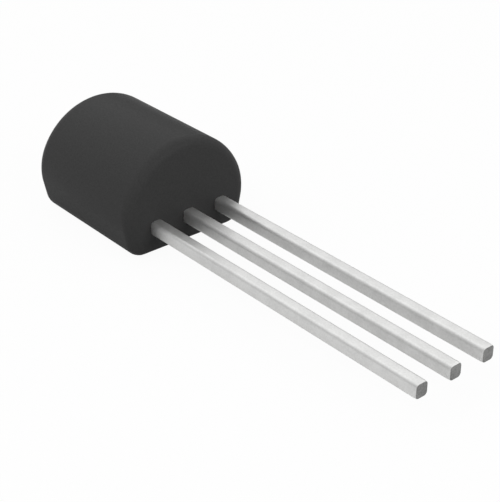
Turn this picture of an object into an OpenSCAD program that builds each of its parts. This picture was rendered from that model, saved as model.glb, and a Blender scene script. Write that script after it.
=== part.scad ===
// Three-lead moulded temperature sensor: a D-shaped black body with a flat front and a
// round back, and three straight tinned leads in a row.
// Millimetres. The origin is the centre of the flat face, which lies on Z = 0.
// +X runs along the leads, away from the body; +Y along the lead row; +Z to the round back.

/* [Moulded body] */
// Length of the body along the leads, measured at the parting plane
body_len = 5.32; // [4.9:0.01:6]
// Diameter of the round back
body_d = 4.8; // [4.7:0.01:5.2]
// Depth from the flat face to the crown of the round back
body_depth = 3.53; // [3.3:0.01:3.7]
// Width of the flat face between its rounded edges
flat_w = 3.34; // [3:0.01:3.4]
// Height above the flat face from which the side walls lean in towards it
wall_top = 1.4; // [1.25:0.05:1.5]
// Radius of the rounded edges along the body: round the flat, and where walls and back meet
side_r = 0.55; // [0.5:0.05:0.6]
// Radius of the rounded edge round the end that the leads leave
lead_end_r = 0.35; // [0.15:0.05:0.45]
// Radius of the rounded edge round the other end
far_end_r = 0.5; // [0.2:0.05:0.5]
// Draft of the two end faces, away from the parting plane, in degrees
end_draft = 2; // [0:0.5:7]

/* [Leads] */
// Height of the lead row, and of the parting plane, above the flat face
row_h = 0.97; // [0.92:0.01:1.15]
// Distance between neighbouring leads
pitch = 1.27; // [1.22:0.01:1.35]
// Width of a lead
lead_w = 0.44; // [0.38:0.01:0.5]
// Thickness of the lead-frame sheet
lead_t = 0.47; // [0.4:0.01:0.5]
// Radius of a lead's long edges
lead_edge_r = 0.12; // [0.04:0.01:0.15]
// Length of a lead beyond the body
lead_len = 11.3; // [3:0.1:16]
// Length over which the shears rolled a lead's edges in at its cut tip
tip_len = 0.1; // [0.05:0.01:0.3]
// Depth of that roll on each side
tip_roll = 0.01; // [0.01:0.01:0.1]

/* [Lead frame inside the body] */
// Depth at which the leads widen, behind the end face
root_depth = 0.6; // [0.5:0.05:0.7]
// Length of the wide part of the two outer leads
post_len = 1.15; // [0.95:0.05:1.25]
// Width of the wide part of the two outer leads
post_w = 0.96; // [0.8:0.02:1.04]
// Radius of the anchoring notch in each wide part
notch_r = 0.14; // [0.08:0.01:0.18]
// Width of the centre lead between the two posts
neck_w = 0.64; // [0.56:0.02:0.7]
// Gap between the posts and the chip plate
plate_gap = 0.4; // [0.3:0.05:0.5]
// Length of the chip plate
plate_len = 1.9; // [1.7:0.05:2.1]
// Width of the chip plate
plate_w = 2.4; // [1.9:0.05:2.6]
// Corner bevel of the posts and the plate
corner_bevel = 0.2; // [0.05:0.05:0.25]

/* [Sensor chip] */
// Length of the chip along the leads
chip_len = 1.3; // [1:0.05:1.5]
// Width of the chip
chip_w = 1.1; // [0.9:0.05:1.5]
// Thickness of the chip
chip_t = 0.28; // [0.2:0.01:0.3]
// Thickness of the adhesive under the chip
glue_t = 0.03; // [0.02:0.005:0.05]
// Width of adhesive that shows round the chip
glue_rim = 0.06; // [0.02:0.01:0.1]

/* [Bond wires] */
// Diameter of the wire
wire_d = 0.05; // [0.04:0.005:0.06]
// Diameter of the ball where a wire starts on the chip
ball_d = 0.13; // [0.1:0.01:0.15]
// Height of that ball
ball_h = 0.04; // [0.03:0.005:0.05]
// Diameter of the foot where a wire ends on its lead
foot_d = 0.1; // [0.08:0.01:0.14]
// Height of that foot
foot_h = 0.02; // [0.01:0.005:0.03]
// Height of a wire's loop over the chip
loop_h = 0.12; // [0.08:0.01:0.15]
// Distance from the chip's front edge to the row of bond pads
pad_inset = 0.15; // [0.1:0.01:0.2]
// Distance between neighbouring bond pads
pad_pitch = 0.34; // [0.2:0.01:0.38]

/* [Hidden] */

$fn = 64;
body_steps = 48;    // facets round the back
fillet_steps = 8;   // facets across a rounded end edge
corner_steps = 6;   // facets round an edge of the flat
wall_steps = 3;     // facets where the back meets a side wall
lead_steps = 5;     // facets round a long edge of a lead
wire_sides = 8;
wire_steps = 14;

exit_x = body_len / 2;
tip_x = exit_x + lead_len;

// The body's outline is swept by a circle of side_r that rolls round this core.
axis_z = body_depth - body_d / 2;
core_r = body_d / 2 - side_r;
back_start = asin((wall_top - axis_z) / core_r);
core_half = core_r * cos(back_start);
wall_lean = atan((core_half - flat_w / 2) / (wall_top - side_r));
parting_y = flat_w / 2 + (row_h - side_r) * tan(wall_lean);

// The side of the lead frame that carries the chip faces the flat.
bond_z = row_h - lead_t / 2;
glue_z = bond_z - glue_t;
chip_z = glue_z - chip_t;
post_x = exit_x - root_depth;
post_end_x = post_x - post_len;
plate_x = post_end_x - plate_gap;
plate_end_x = plate_x - plate_len;
chip_x = (plate_x + plate_end_x) / 2;
pad_x = chip_x + chip_len / 2 - pad_inset;
foot_x = (post_x + post_end_x) / 2;

// One entry for each facet edge of the outline: a point of the core, and how far y and z move
// outwards from it for each millimetre that the outline stands off the core.
function corner(y, z, from, to, steps) =
  [for (k = [0 : steps]) let (a = from + (to - from) * k / steps) [y, z, cos(a), sin(a)]];
function mirrored(entries) =
  [for (k = [len(entries) - 1 : -1 : 0]) let (e = entries[k]) [-e[0], e[1], -e[2], e[3]]];

lower_right = concat(
  corner(flat_w / 2, side_r, -90, -wall_lean, corner_steps),
  [[parting_y, row_h, 1 / cos(wall_lean), 0]],
  corner(core_half, wall_top, -wall_lean, back_start, wall_steps)
);
back = [
  for (k = [1 : body_steps - 1])
    let (a = back_start + (180 - 2 * back_start) * k / body_steps)
      [core_r * cos(a), axis_z + core_r * sin(a), cos(a), sin(a)]
];
outline = concat(lower_right, back, mirrored(lower_right));
outline_len = len(outline);
parting_right = corner_steps + 1;
parting_left = outline_len - 1 - parting_right;

// Cross-sections along the body: [which end, how far round the end edge in degrees].
sections = concat(
  [for (k = [fillet_steps : -1 : 0]) [-1, 90 * k / fillet_steps]],
  [for (k = [0 : fillet_steps]) [1, 90 * k / fillet_steps]]
);

function body_point(section, entry) =
  let (
    end_r = section[0] < 0 ? far_end_r : lead_end_r,
    end_z = entry[1] + (side_r - end_r) * entry[3],
    end_drop = end_r * (1 - sin(section[1])) + abs(end_z - row_h) * tan(end_draft),
    stand_off = side_r - end_r * (1 - cos(section[1]))
  ) [
    section[0] * (exit_x - end_drop),
    entry[0] + stand_off * entry[2],
    entry[1] + stand_off * entry[3]
  ];

body_points = [for (s = sections) for (e = outline) body_point(s, e)];

function ring_point(s, k) = s * outline_len + k % outline_len;

side_faces = [
  for (s = [0 : len(sections) - 2])
    for (k = [0 : outline_len - 1])
      for (half = [0, 1])
        half == 0
          ? [ring_point(s, k), ring_point(s + 1, k), ring_point(s + 1, k + 1)]
          : [ring_point(s, k), ring_point(s + 1, k + 1), ring_point(s, k + 1)]
];
// Each end is two planes that meet on the parting plane.
upper_end = [for (k = [parting_right : parting_left]) k];
lower_end = [for (k = [parting_left : outline_len + parting_right]) k % outline_len];
last_ring = (len(sections) - 1) * outline_len;
function far_end(ring) = ring;
function near_end(ring) = [for (k = [len(ring) - 1 : -1 : 0]) last_ring + ring[k]];

// Runs a Y-Z outline along X.
module along_x(from, to) {
  translate([from, 0, 0]) rotate([90, 0, 90]) linear_extrude(to - from) children();
}

module body_form() {
  polyhedron(
    points = body_points,
    faces = concat(
      side_faces,
      [far_end(upper_end), far_end(lower_end), near_end(upper_end), near_end(lower_end)]
    ),
    convexity = 2
  );
}

module mould_body() color("#3b3b3b") {
  difference() {
    body_form();
    lead_left();
    lead_centre();
    lead_right();
    chip_adhesive();
    sensor_chip();
    bond_wire_left();
    bond_wire_centre();
    bond_wire_right();
  }
}

function rounded_bar(w, t, r) = [
  for (q = [0 : 3])
    for (k = [0 : lead_steps])
      let (a = 90 * q + 90 * k / lead_steps, sy = (q == 0 || q == 3) ? 1 : -1, sz = q < 2 ? 1 : -1)
        [sy * (w / 2 - r) + r * cos(a), sz * (t / 2 - r) + r * sin(a)]
];

// A bar's outline seen square to one side, with the rolled tip.
function bar_profile(width) = [
  [post_end_x, -width / 2],
  [tip_x - tip_len, -width / 2],
  [tip_x, -width / 2 + tip_roll],
  [tip_x, width / 2 - tip_roll],
  [tip_x - tip_len, width / 2],
  [post_end_x, width / 2]
];

// The straight lead, from inside its wide part to the cut tip.
module lead_bar() {
  intersection() {
    along_x(post_x - corner_bevel, tip_x) polygon(rounded_bar(lead_w, lead_t, lead_edge_r));
    linear_extrude(lead_t, center = true) polygon(bar_profile(lead_w));
    rotate([90, 0, 0]) linear_extrude(lead_w, center = true) polygon(bar_profile(lead_t));
  }
}

// A wide stretch of the stamped sheet, with its four corners bevelled.
module wide_part(from, to, w) {
  c = corner_bevel;
  linear_extrude(lead_t, center = true) polygon([
    [from, -w / 2 + c], [from + c, -w / 2], [to - c, -w / 2], [to, -w / 2 + c],
    [to, w / 2 - c], [to - c, w / 2], [from + c, w / 2], [from, w / 2 - c]
  ]);
}

// An outer lead. Its notch faces away from the centre lead and locks it in the moulding.
module outer_lead() {
  translate([0, pitch, row_h]) {
    lead_bar();
    difference() {
      wide_part(post_end_x, post_x, post_w);
      translate([foot_x, post_w / 2, 0]) cylinder(r = notch_r, h = 2 * lead_t, center = true);
    }
  }
}

module lead_left() color("#c9c9c9") {
  mirror([0, 1, 0]) outer_lead();
}

module lead_right() color("#c9c9c9") {
  outer_lead();
}

module lead_centre() color("#c9c9c9") {
  translate([0, 0, row_h]) {
    lead_bar();
    wide_part(plate_x - corner_bevel, post_x, neck_w);
    wide_part(plate_end_x, plate_x, plate_w);
  }
}

module chip_adhesive() color("#8f8f86") {
  translate([chip_x - chip_len / 2 - glue_rim, -chip_w / 2 - glue_rim, glue_z])
    cube([chip_len + 2 * glue_rim, chip_w + 2 * glue_rim, glue_t]);
}

module sensor_chip() color("#55606e") {
  translate([chip_x - chip_len / 2, -chip_w / 2, chip_z]) cube([chip_len, chip_w, chip_t]);
}

// A wire leaves the chip square to its face, loops over and lands square on its lead.
function bezier(p, t) =
  pow(1 - t, 3) * p[0] + 3 * pow(1 - t, 2) * t * p[1]
  + 3 * (1 - t) * pow(t, 2) * p[2] + pow(t, 3) * p[3];
function bezier_heading(p, t) =
  pow(1 - t, 2) * (p[1] - p[0]) + 2 * (1 - t) * t * (p[2] - p[1]) + pow(t, 2) * (p[3] - p[2]);

module bond_wire(pad, foot) {
  across = norm(foot - pad);
  bearing = atan2(foot[1] - pad[1], foot[0] - pad[0]);
  crest = chip_z - loop_h * 4 / 3;
  // In the wire's own upright plane: distance from the pad, and height.
  route = [[0, chip_z], [0, crest], [across, crest], [across, bond_z]];
  rings = [
    for (k = [0 : wire_steps])
      let (
        t = k / wire_steps,
        p = bezier(route, t),
        heading = bezier_heading(route, t),
        h = heading / norm(heading)
      )
        for (s = [0 : wire_sides - 1])
          let (a = 360 * s / wire_sides, u = wire_d / 2 * sin(a), v = wire_d / 2 * cos(a))
            [p[0] - u * h[1], v, p[1] + u * h[0]]
  ];
  last = wire_steps * wire_sides;
  skin = [
    for (k = [0 : wire_steps - 1])
      for (s = [0 : wire_sides - 1])
        let (a = k * wire_sides, b = a + wire_sides, n = (s + 1) % wire_sides)
          [a + s, a + n, b + n, b + s]
  ];
  ends = [
    [for (s = [wire_sides - 1 : -1 : 0]) s],
    [for (s = [0 : wire_sides - 1]) last + s]
  ];
  translate([pad[0], pad[1], 0]) rotate(bearing) polyhedron(points = rings, faces = concat(skin, ends));
  translate([pad[0], pad[1], chip_z - ball_h]) cylinder(d = ball_d, h = ball_h);
  translate([foot[0], foot[1], bond_z - foot_h]) cylinder(d = foot_d, h = foot_h);
}

module bond_wire_left() color("#d9b44a") {
  bond_wire([pad_x, -pad_pitch], [foot_x, -pitch]);
}

module bond_wire_centre() color("#d9b44a") {
  bond_wire([pad_x, 0], [foot_x, 0]);
}

module bond_wire_right() color("#d9b44a") {
  bond_wire([pad_x, pad_pitch], [foot_x, pitch]);
}

mould_body();
lead_left();
lead_centre();
lead_right();
chip_adhesive();
sensor_chip();
bond_wire_left();
bond_wire_centre();
bond_wire_right();
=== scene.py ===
import math

import bmesh
import bpy
from mathutils import Matrix, Vector


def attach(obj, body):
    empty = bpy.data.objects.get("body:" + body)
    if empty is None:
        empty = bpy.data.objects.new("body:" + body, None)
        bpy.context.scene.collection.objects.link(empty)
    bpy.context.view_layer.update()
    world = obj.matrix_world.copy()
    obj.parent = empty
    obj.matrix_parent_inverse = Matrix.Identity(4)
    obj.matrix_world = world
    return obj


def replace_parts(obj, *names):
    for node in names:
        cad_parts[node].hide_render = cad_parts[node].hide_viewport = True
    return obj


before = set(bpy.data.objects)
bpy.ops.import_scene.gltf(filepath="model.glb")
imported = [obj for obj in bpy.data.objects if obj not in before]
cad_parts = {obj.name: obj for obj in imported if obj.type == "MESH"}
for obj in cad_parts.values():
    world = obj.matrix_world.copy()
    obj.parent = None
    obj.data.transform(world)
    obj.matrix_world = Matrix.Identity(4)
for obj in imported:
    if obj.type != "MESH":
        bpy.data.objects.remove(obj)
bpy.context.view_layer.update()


# ---- Leads ---------------------------------------------------------------------------
# Three leads stamped from one strip of copper alloy, with their long edges coined round
# and matt tin plated over. The outer two end in notched posts and the middle one in the
# plate that carries the chip. The moulding holds them; they are cropped to length last.

MM = 0.001                  # in metres; every size below is in millimetres
STRIP_THICKNESS = 0.47
ROW_HEIGHT = 0.97           # of the leads' middle above the flat face
PITCH = 1.27
LEAD_WIDTH = 0.44
LEAD_EDGE_RADIUS = 0.12
LEAD_TIP_X = 13.96
TIP_ROLL_LENGTH = 0.1
TIP_ROLL_DEPTH = 0.01
CROPPED_EDGE_RADIUS = 0.012
POST_START_X, POST_END_X = 2.06, 0.91
POST_WIDTH = 0.96
NOTCH_RADIUS = 0.14
NECK_WIDTH = 0.64
PLATE_START_X, PLATE_END_X = 0.51, -1.39
PLATE_WIDTH = 2.4
CORNER_BEVEL = 0.2
ROUNDING_GAP = 0.02         # from the wide part to where a bar's edges start to be round
LEAD_EDGE_STEPS, CROPPED_EDGE_STEPS, NOTCH_STEPS = 6, 2, 8
LONG_EDGE, UPRIGHT_EDGE = 1, 0.1    # edges longer than this run along X, or through the strip
SQUARE_CORNER = 1           # radians; an edge turning more than this is a corner of the bar
SHARP_ANGLE = math.radians(32)
TOLERANCE = 0.001           # two places closer than this are the same
BEVEL_STOP = 0.0001         # what a bevel leaves, so that its two sides don't meet
MERGE_DISTANCE = 0.0005

CLOUD_SIZE = 0.6
TIN_COLOUR, TIN_SHADE_COLOUR = "#e2e2e1", "#d8d8d7"
CROPPED_COLOUR, CROPPED_SHADE_COLOUR = "#939392", "#7c7c7b"


def linear(code):
    """The linear colour of an sRGB one written as #rrggbb."""
    parts = [int(code[i:i + 2], 16) / 255 for i in (1, 3, 5)]
    return [p / 12.92 if p <= 0.04045 else ((p + 0.055) / 1.055) ** 2.4 for p in parts] + [1]


def add(tree, kind, inputs, **settings):
    """A new node with its settings; each input is a value or another node's socket."""
    made = tree.nodes.new(kind)
    for name, value in settings.items():
        setattr(made, name, value)
    for name, value in inputs.items():
        if isinstance(value, bpy.types.NodeSocket):
            tree.links.new(value, made.inputs[name])
        else:
            made.inputs[name].default_value = value
    return made


def new_material(name):
    """An empty material, its node tree and its object coordinates."""
    material = bpy.data.materials.new(name)
    material.use_nodes = True
    tree = material.node_tree
    tree.nodes.clear()
    where = add(tree, "ShaderNodeTexCoord", {}).outputs["Object"]
    return material, tree, where


def per_metre(size_mm):
    """The scale at which a texture's pattern repeats about every size_mm."""
    return 1 / (size_mm * MM)


def plated(name, colour, shade, dull, bright, grain_mm, grain_height_mm):
    """Matt metal whose crystal grains vary a little in tone, gloss and height."""
    # Clouds are broad changes in the plating. The two noises add up to about 1.
    material, tree, where = new_material(name)
    clouds = add(tree, "ShaderNodeTexNoise", {
        "Vector": where, "Scale": per_metre(CLOUD_SIZE), "Detail": 3.0})
    grain = add(tree, "ShaderNodeTexNoise", {
        "Vector": where, "Scale": per_metre(grain_mm), "Detail": 2.0})
    both = add(tree, "ShaderNodeMath", {
        0: clouds.outputs["Fac"], 1: grain.outputs["Fac"]}, operation="ADD")
    share = add(tree, "ShaderNodeMapRange", {
        "Value": both.outputs[0], "From Min": 0.75, "From Max": 1.25})
    tone = add(tree, "ShaderNodeMix", {
        0: share.outputs[0], 6: linear(shade), 7: linear(colour)}, data_type="RGBA")
    gloss = add(tree, "ShaderNodeMapRange", {"Value": share.outputs[0], "To Min": dull, "To Max": bright})
    relief = add(tree, "ShaderNodeBump", {"Height": grain.outputs["Fac"], "Distance": grain_height_mm * MM})
    shader = add(tree, "ShaderNodeBsdfPrincipled", {
        "Base Color": tone.outputs[2], "Metallic": 1.0, "Roughness": gloss.outputs[0],
        "Normal": relief.outputs[0]})
    add(tree, "ShaderNodeOutputMaterial", {"Surface": shader.outputs[0]})
    return material


# Matt tin plated from a bath gives the eye a pale grey that is soft, slightly cloudy and faintly
# grained. Its crystals are a few thousandths of a millimetre, too fine to show, so the grain is
# drawn about ten times as coarse.
tin = plated("matt tin plate", TIN_COLOUR, TIN_SHADE_COLOUR, 0.50, 0.40, 0.06, 0.002)
# Shears smear tin over the copper alloy they cut, so a cropped end looks darker, dull and rough.
cropped = plated("cropped copper alloy", CROPPED_COLOUR, CROPPED_SHADE_COLOUR, 0.55, 0.45, 0.05, 0.006)


def stamped(outline):
    """A part stamped from the strip, centred on Z = 0; outline is its corners (x, y)."""
    bm = bmesh.new()
    face = bm.faces.new([bm.verts.new((x, y, -STRIP_THICKNESS / 2)) for x, y in outline])
    raised = bmesh.ops.extrude_face_region(bm, geom=[face])["geom"]
    bmesh.ops.translate(bm, verts=[g for g in raised if isinstance(g, bmesh.types.BMVert)],
                        vec=(0, 0, STRIP_THICKNESS))
    bmesh.ops.recalc_face_normals(bm, faces=bm.faces)
    return bm


def bevel(bm, edges, radius, steps):
    """Rounds the edges with a quarter circle drawn in steps."""
    bmesh.ops.bevel(bm, geom=edges, offset=radius, offset_type="OFFSET", segments=steps,
                    profile=0.5, affect="EDGES", material=-1)


def round_and_crop(bm, bar_start_x):
    """Coins the long edges of a lead's straight bar, and bevels its cropped tip."""
    round_from_x = bar_start_x + ROUNDING_GAP
    bmesh.ops.bisect_plane(bm, geom=bm.verts[:] + bm.edges[:] + bm.faces[:],
                           plane_co=(round_from_x, 0, 0), plane_no=(1, 0, 0))
    long_edges = [e for e in bm.edges
                  if abs(e.verts[0].co.x - e.verts[1].co.x) > LONG_EDGE
                  and e.calc_face_angle() > SQUARE_CORNER
                  and min(v.co.x for v in e.verts) > round_from_x - TOLERANCE]
    bevel(bm, long_edges, LEAD_EDGE_RADIUS, LEAD_EDGE_STEPS)
    tip = max(bm.faces, key=lambda f: f.calc_center_median().x)
    bmesh.ops.inset_region(bm, faces=[tip], thickness=TIP_ROLL_DEPTH, depth=TIP_ROLL_LENGTH,
                           use_even_offset=True)
    tip.material_index = 1
    bevel(bm, list(tip.edges), CROPPED_EDGE_RADIUS, CROPPED_EDGE_STEPS)


def finished(bm, name, materials):
    """Turns a bmesh in millimetres into a piece that rides on the body, in metres."""
    bmesh.ops.remove_doubles(bm, verts=bm.verts, dist=MERGE_DISTANCE)
    bmesh.ops.recalc_face_normals(bm, faces=bm.faces)
    bmesh.ops.scale(bm, verts=bm.verts, vec=(MM, MM, MM))
    for face in bm.faces:
        face.smooth = True
    for edge in bm.edges:
        edge.smooth = edge.calc_face_angle(0) < SHARP_ANGLE
    mesh = bpy.data.meshes.new(name)
    bm.to_mesh(mesh)
    bm.free()
    for material in materials:
        mesh.materials.append(material)
    piece = bpy.data.objects.new(name, mesh)
    bpy.context.scene.collection.objects.link(piece)
    piece.modifiers.new("flat faces shade flat", "WEIGHTED_NORMAL").keep_sharp = True
    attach(piece, "root")
    return piece


bar_end_x = LEAD_TIP_X - TIP_ROLL_LENGTH
half_bar, half_post, half_neck = LEAD_WIDTH / 2, POST_WIDTH / 2, NECK_WIDTH / 2
half_plate = PLATE_WIDTH / 2
neck_front_x = POST_START_X - half_neck + half_bar
notch_x = (POST_START_X + POST_END_X) / 2
c = CORNER_BEVEL
plated_leads = []

for name, side in (("lead_left", -1), ("lead_right", 1)):
    post = stamped([(x, side * y) for x, y in (
        (bar_end_x, -half_bar), (bar_end_x, half_bar), (POST_START_X, half_bar),
        (POST_START_X, half_post - c), (POST_START_X - c, half_post),
        (notch_x + NOTCH_RADIUS, half_post), (notch_x + NOTCH_RADIUS, half_post - NOTCH_RADIUS),
        (notch_x - NOTCH_RADIUS, half_post - NOTCH_RADIUS), (notch_x - NOTCH_RADIUS, half_post),
        (POST_END_X + c, half_post), (POST_END_X, half_post - c),
        (POST_END_X, c - half_post), (POST_END_X + c, -half_post),
        (POST_START_X - c, -half_post), (POST_START_X, c - half_post), (POST_START_X, -half_bar),
    )])
    notch_corners = [e for e in post.edges
                     if all(abs(side * v.co.y - half_post + NOTCH_RADIUS) < TOLERANCE
                            and abs(abs(v.co.x - notch_x) - NOTCH_RADIUS) < TOLERANCE for v in e.verts)
                     and abs(e.verts[0].co.z - e.verts[1].co.z) > UPRIGHT_EDGE]
    bevel(post, notch_corners, NOTCH_RADIUS - BEVEL_STOP, NOTCH_STEPS)
    round_and_crop(post, POST_START_X)
    bmesh.ops.translate(post, verts=post.verts, vec=(0, side * PITCH, ROW_HEIGHT))
    lead = finished(post, name + "_plated", [tin, cropped])
    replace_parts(lead, name)
    plated_leads.append(lead)

upper_half = (
    (bar_end_x, half_bar), (neck_front_x, half_bar), (POST_START_X - c, half_neck),
    (PLATE_START_X, half_neck), (PLATE_START_X, half_plate - c), (PLATE_START_X - c, half_plate),
    (PLATE_END_X + c, half_plate), (PLATE_END_X, half_plate - c),
)
centre = stamped(list(upper_half) + [(x, -y) for x, y in reversed(upper_half)])
round_and_crop(centre, neck_front_x)
bmesh.ops.translate(centre, verts=centre.verts, vec=(0, 0, ROW_HEIGHT))
lead = finished(centre, "lead_centre_plated", [tin, cropped])
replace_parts(lead, "lead_centre")
plated_leads.append(lead)


# ---- Chip and adhesive ---------------------------------------------------------------
# The sensor chip is a sawn piece of silicon, glued to the plate on the side facing the
# flat with silver-filled epoxy. Both keep the shapes that the frame gives them and are
# sealed in the moulding.

SILICON_COLOUR, SILICON_SHADE_COLOUR = "#4d5866", "#39424e"
ADHESIVE_COLOUR, ADHESIVE_SHADE_COLOUR = "#a3a39b", "#7d7d76"


def dielectric(name, colour, shade, dull, bright, grain_mm, grain_height_mm, ior, shine=0.5):
    """A filled resin or polished solid, with fine grain in tone, gloss and height."""
    material, tree, where = new_material(name)
    grain = add(tree, "ShaderNodeTexNoise", {
        "Vector": where, "Scale": per_metre(grain_mm), "Detail": 3.0})
    share = add(tree, "ShaderNodeMapRange", {
        "Value": grain.outputs["Fac"], "From Min": 0.35, "From Max": 0.65})
    tone = add(tree, "ShaderNodeMix", {
        0: share.outputs[0], 6: linear(shade), 7: linear(colour)}, data_type="RGBA")
    gloss = add(tree, "ShaderNodeMapRange", {"Value": share.outputs[0], "To Min": dull, "To Max": bright})
    relief = add(tree, "ShaderNodeBump", {"Height": grain.outputs["Fac"], "Distance": grain_height_mm * MM})
    shader = add(tree, "ShaderNodeBsdfPrincipled", {
        "Base Color": tone.outputs[2], "Roughness": gloss.outputs[0], "IOR": ior,
        "Specular IOR Level": shine, "Normal": relief.outputs[0]})
    add(tree, "ShaderNodeOutputMaterial", {"Surface": shader.outputs[0]})
    return material


def finish_node(name, material):
    """Gives a CAD node its finish."""
    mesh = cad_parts[name].data
    mesh.materials.clear()
    mesh.materials.append(material)


# Polished silicon is a smooth, cold grey-blue with a sharp shine. Silver flakes in epoxy look
# like a dull pale paste with a fine grain.
finish_node("sensor_chip", dielectric("polished silicon", SILICON_COLOUR, SILICON_SHADE_COLOUR,
                                      0.2, 0.12, 0.3, 0.0005, 3.4))
finish_node("chip_adhesive", dielectric("silver-filled epoxy", ADHESIVE_COLOUR, ADHESIVE_SHADE_COLOUR,
                                        0.6, 0.5, 0.04, 0.004, 1.55))


# ---- Bond wires ----------------------------------------------------------------------
# Three drawn gold wires, each from a ball on a pad of the chip to a flat foot on its lead.
# A bonder welds both ends with heat and ultrasound before the body is moulded.

# Drawn gold is a warm yellow metal, smooth enough to shine along the wire.
gold = plated("drawn gold", "#e0b04c", "#cf9c3c", 0.3, 0.2, 0.03, 0.0005)
for name in ("bond_wire_left", "bond_wire_centre", "bond_wire_right"):
    finish_node(name, gold)


# ---- Moulded body --------------------------------------------------------------------
# Black silica-filled epoxy, transfer-moulded round the leads in two half moulds that meet
# on the plane of the leads, so that both ends lean back from that plane. The mould was
# spark-eroded, which leaves a fine even matt.

BODY_LENGTH = 5.32
BODY_DEPTH = 3.53
BACK_RADIUS = 2.4
FLAT_WIDTH = 3.34
WALL_RADIUS, WALL_CENTRE_Z = 1.9, 1.35   # each side wall curves in, then runs straight to the flat
EDGE_RADIUS = 0.55
LEAD_END_RADIUS, FAR_END_RADIUS = 0.35, 0.5
END_DRAFT = math.radians(2)
BACK_STEPS, WALL_STEPS, EDGE_STEPS, FILLET_STEPS = 56, 16, 8, 10

BODY_MERGE_DISTANCE, PARTING_CUT_DISTANCE = 0.002, 0.01

COMPOUND_COLOUR, COMPOUND_SHADE_COLOUR = "#353535", "#313131"

axis_z = BODY_DEPTH - BACK_RADIUS
back_start = math.asin((WALL_CENTRE_Z - axis_z) / (BACK_RADIUS - WALL_RADIUS))
wall_centre_y = (BACK_RADIUS - WALL_RADIUS) * math.cos(back_start)

# The straight run touches the wall's arc and the flat's rounded edge.
across, drop = FLAT_WIDTH / 2 - wall_centre_y, WALL_CENTRE_Z - EDGE_RADIUS
wall_lean = math.atan2(drop, across) - math.acos((WALL_RADIUS - EDGE_RADIUS) / math.hypot(across, drop))
edge_reach = EDGE_RADIUS * math.tan((math.pi / 2 - wall_lean) / 2)
flat_corner_y = FLAT_WIDTH / 2 + edge_reach
ends = ((-1, FAR_END_RADIUS), (1, LEAD_END_RADIUS))
(_, far_x), (_, near_x) = [(sign, sign * (BODY_LENGTH / 2 - radius)) for sign, radius in ends]

body = bmesh.new()
start = body.verts.new((far_x, wall_centre_y + WALL_RADIUS * math.cos(wall_lean),
                        WALL_CENTRE_Z - WALL_RADIUS * math.sin(wall_lean)))
last = start
for y, z, angle, steps in ((wall_centre_y, WALL_CENTRE_Z, back_start + wall_lean, WALL_STEPS),
                           (0, axis_z, math.pi - 2 * back_start, BACK_STEPS),
                           (-wall_centre_y, WALL_CENTRE_Z, back_start + wall_lean, WALL_STEPS)):
    arc = bmesh.ops.spin(body, geom=[last], cent=(0, y, z), axis=(1, 0, 0), dvec=(0, 0, 0),
                         angle=angle, steps=steps)
    last = next(g for g in arc["geom_last"] if isinstance(g, bmesh.types.BMVert))
corners = [body.verts.new((far_x, y, 0)) for y in (-flat_corner_y, flat_corner_y)]
chain = [last] + corners + [start]
for one, other in zip(chain, chain[1:]):
    body.edges.new((one, other))
bmesh.ops.contextual_create(body, geom=body.edges[:])
raised = bmesh.ops.extrude_face_region(body, geom=body.faces[:])["geom"]
bmesh.ops.translate(body, verts=[g for g in raised if isinstance(g, bmesh.types.BMVert)],
                    vec=(near_x - far_x, 0, 0))
bmesh.ops.recalc_face_normals(body, faces=body.faces)
flat_edges = [e for e in body.edges if all(abs(v.co.z) < TOLERANCE for v in e.verts)
              and abs(e.verts[0].co.x - e.verts[1].co.x) > LONG_EDGE]
bevel(body, flat_edges, edge_reach, EDGE_STEPS)
bmesh.ops.remove_doubles(body, verts=body.verts, dist=BODY_MERGE_DISTANCE)

# A ball of the end's radius rolls round each end: step by step inwards and outwards.
for sign, radius in ends:
    end = max(body.faces, key=lambda f: sign * f.calc_center_median().x)
    for step in range(FILLET_STEPS):
        here, there = (math.pi / 2 * k / FILLET_STEPS for k in (step, step + 1))
        bmesh.ops.inset_region(
            body, faces=[end], use_even_offset=True,
            thickness=radius * (math.cos(here) - math.cos(there)),
            depth=radius * (math.sin(there) - math.sin(here)))
    bmesh.ops.bisect_plane(body, geom=[end] + list(end.edges) + list(end.verts),
                           dist=PARTING_CUT_DISTANCE, plane_co=(0, 0, ROW_HEIGHT), plane_no=(0, 0, 1))

# Each end leans back from the parting plane, all of it, so that rings and sides stay in line.
for vert in body.verts:
    vert.co.x -= math.copysign(abs(vert.co.z - ROW_HEIGHT) * math.tan(END_DRAFT), vert.co.x)
bmesh.ops.remove_doubles(body, verts=body.verts, dist=BODY_MERGE_DISTANCE)


def loose(bm):
    """A plain object in millimetres, for cutting only."""
    mesh = bpy.data.meshes.new("cutting")
    bm.to_mesh(mesh)
    bm.free()
    made = bpy.data.objects.new("cutting", mesh)
    bpy.context.scene.collection.objects.link(made)
    return made


# The compound flowed round everything it holds, so each of those pieces leaves its pocket.
blank = loose(body)
cutters = []
for held in plated_leads + [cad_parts[name] for name in (
        "chip_adhesive", "sensor_chip", "bond_wire_left", "bond_wire_centre", "bond_wire_right")]:
    shape = bmesh.new()
    shape.from_mesh(held.data)
    bmesh.ops.scale(shape, verts=shape.verts, vec=(1 / MM, 1 / MM, 1 / MM))
    bmesh.ops.remove_doubles(shape, verts=shape.verts, dist=MERGE_DISTANCE)
    for face in shape.faces:
        face.material_index = 0
    cutters.append(loose(shape))
    pocket = blank.modifiers.new("pocket", "BOOLEAN")
    pocket.operation, pocket.solver, pocket.object = "DIFFERENCE", "EXACT", cutters[-1]
cut = blank.evaluated_get(bpy.context.evaluated_depsgraph_get())
body = bmesh.new()
body.from_mesh(cut.to_mesh())
for spent in [blank] + cutters:
    bpy.data.meshes.remove(spent.data)

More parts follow.
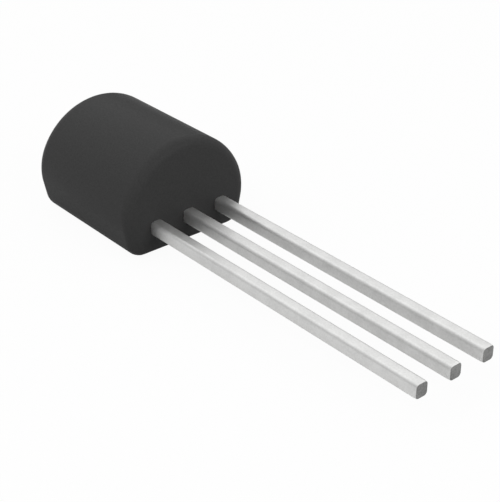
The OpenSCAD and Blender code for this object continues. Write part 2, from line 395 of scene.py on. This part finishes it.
# The mould's eroded skin prints thousands of tiny pits, so black compound looks an even, soft
# charcoal with hardly any shine. The pits are about 0.02 mm, and are drawn a little coarser.
compound = dielectric("spark-eroded epoxy compound", COMPOUND_COLOUR, COMPOUND_SHADE_COLOUR,
                      0.50, 0.42, 0.05, 0.0006, 1.5, 0.05)
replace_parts(finished(body, "moulded_body", [compound]), "mould_body")


# ---- Studio --------------------------------------------------------------------------
# A sheet of white paper under the part, a pale sky brighter on one side, two soft boxes and
# the camera over the lead tips. The paper looks white to the camera, and it keeps the shadow
# because it is only partly a glow.

FLOOR_SIZE = 400
PAPER_COLOUR = "#cbcbcb"
SEEN_GLOW, MIRRORED_GLOW = 0.95, 0.2     # share of white in the paper as seen, and in metal
HORIZON_LIGHT, ZENITH_LIGHT = 0.6, 1.2   # of the sky; a strength of 1 is white
CREST_DIRECTION = (-0.50, 0.45, 0.74)    # towards the brightest sky, which the lead tops mirror
CREST_FOOT, CREST_TOP = 0.2, 0.95        # cosines to it at which the sky starts and ends to brighten
FLAG_DIRECTION, FLAG_STRETCH = (-0.70, 0.71, 0.0), (1.0, 1.0, 1.8)   # a dark card on the horizon
FLAG_EDGE, FLAG_CORE, FLAG_LEVEL = 0.74, 0.97, 0.05      # cosines to it, and what it lets through
floor_mesh = bmesh.new()
bmesh.ops.create_grid(floor_mesh, x_segments=1, y_segments=1, size=FLOOR_SIZE / 2 * MM)
mesh = bpy.data.meshes.new("paper_floor")
floor_mesh.to_mesh(mesh)
floor_mesh.free()
floor = bpy.data.objects.new("paper_floor", mesh)
bpy.context.scene.collection.objects.link(floor)

paper, tree, where = new_material("white paper")
rays = add(tree, "ShaderNodeLightPath", {})
mirrored = add(tree, "ShaderNodeMath", {
    0: rays.outputs["Is Glossy Ray"], 1: rays.outputs["Is Transmission Ray"]},
    operation="ADD", use_clamp=True)
mirrored = add(tree, "ShaderNodeMath", {
    0: mirrored.outputs[0], 1: MIRRORED_GLOW}, operation="MULTIPLY")
share = add(tree, "ShaderNodeMath", {
    0: rays.outputs["Is Camera Ray"], 1: SEEN_GLOW, 2: mirrored.outputs[0]}, operation="MULTIPLY_ADD")
matt = add(tree, "ShaderNodeBsdfDiffuse", {"Color": linear(PAPER_COLOUR)})
glow = add(tree, "ShaderNodeEmission", {"Color": linear("#ffffff"), "Strength": 1.0})
mixed = add(tree, "ShaderNodeMixShader", {
    0: share.outputs[0], 1: matt.outputs[0], 2: glow.outputs[0]})
add(tree, "ShaderNodeOutputMaterial", {"Surface": mixed.outputs[0]})
paper.cycles.emission_sampling = "NONE"
mesh.materials.append(paper)

world = bpy.data.worlds.new("studio")
bpy.context.scene.world = world
world.use_nodes = True
tree = world.node_tree
tree.nodes.clear()
where = add(tree, "ShaderNodeTexCoord", {}).outputs["Generated"]
towards_crest = add(tree, "ShaderNodeVectorMath", {
    0: where, 1: CREST_DIRECTION}, operation="DOT_PRODUCT")
level = add(tree, "ShaderNodeMapRange", {
    "Value": towards_crest.outputs["Value"], "From Min": CREST_FOOT, "From Max": CREST_TOP,
    "To Min": HORIZON_LIGHT, "To Max": ZENITH_LIGHT}, interpolation_type="SMOOTHSTEP")
stretched = add(tree, "ShaderNodeVectorMath", {0: where, 1: FLAG_STRETCH}, operation="MULTIPLY")
stretched = add(tree, "ShaderNodeVectorMath", {0: stretched.outputs[0]}, operation="NORMALIZE")
towards_flag = add(tree, "ShaderNodeVectorMath", {
    0: stretched.outputs[0], 1: FLAG_DIRECTION}, operation="DOT_PRODUCT")
past_flag = add(tree, "ShaderNodeMapRange", {
    "Value": towards_flag.outputs["Value"], "From Min": FLAG_EDGE, "From Max": FLAG_CORE,
    "To Min": 1.0, "To Max": FLAG_LEVEL}, interpolation_type="SMOOTHSTEP")
level = add(tree, "ShaderNodeMath", {
    0: level.outputs[0], 1: past_flag.outputs[0]}, operation="MULTIPLY")
sky = add(tree, "ShaderNodeBackground", {"Color": linear("#ffffff"), "Strength": level.outputs[0]})
add(tree, "ShaderNodeOutputWorld", {"Surface": sky.outputs[0]})

CENTRE = Vector((5.65, 0, 1.5))     # about the middle of the part


def lamp(name, direction, distance, width, height, radiance, mirrored):
    """A soft box, in millimetres, that faces the part from a direction.

    One that isn't mirrored lights matt surfaces and leaves no streak along the leads.
    """
    light = bpy.data.lights.new(name, "AREA")
    light.shape = "RECTANGLE"
    light.size, light.size_y = width * MM, height * MM
    light.energy = radiance * math.pi * light.size * light.size_y
    rig = bpy.data.objects.new(name, light)
    towards = Vector(direction).normalized()
    rig.location = (CENTRE + towards * distance) * MM
    rig.rotation_mode = "QUATERNION"
    rig.rotation_quaternion = towards.to_track_quat("Z", "Y")
    rig.visible_glossy = mirrored
    bpy.context.scene.collection.objects.link(rig)


lamp("left soft box", (-0.35, -0.60, 0.72), 150, 90, 130, 3.2, False)
lamp("right soft box", (0.87, 0.16, 0.46), 150, 110, 60, 4.4, True)

AZIMUTH, ELEVATION = math.radians(50.005), math.radians(29.595)
VIEW_POINT, VIEW_DISTANCE = Vector((6.66, 0, 1.5)), 37.93
SHIFT_RIGHT, SHIFT_UP = -0.638, -0.094
SENSOR_WIDTH = 36
LENS_IN_PIXELS, IMAGE_PIXELS = 1286.4, 502      # the larger side of the image fills the sensor
back = Vector((math.sin(AZIMUTH) * math.cos(ELEVATION), -math.cos(AZIMUTH) * math.cos(ELEVATION),
               math.sin(ELEVATION)))
right = Vector((math.cos(AZIMUTH), math.sin(AZIMUTH), 0))
up = back.cross(right)
camera_data = bpy.data.cameras.new("camera")
camera_data.sensor_width = SENSOR_WIDTH
camera_data.lens = LENS_IN_PIXELS / IMAGE_PIXELS * SENSOR_WIDTH
camera_data.clip_start = 0.001
camera = bpy.data.objects.new("camera", camera_data)
camera.location = (VIEW_POINT + SHIFT_RIGHT * right + SHIFT_UP * up + VIEW_DISTANCE * back) * MM
camera.rotation_mode = "QUATERNION"
camera.rotation_quaternion = Matrix((right, up, back)).transposed().to_quaternion()
bpy.context.scene.collection.objects.link(camera)
bpy.context.scene.camera = camera
bpy.context.scene.view_settings.view_transform = "Standard"
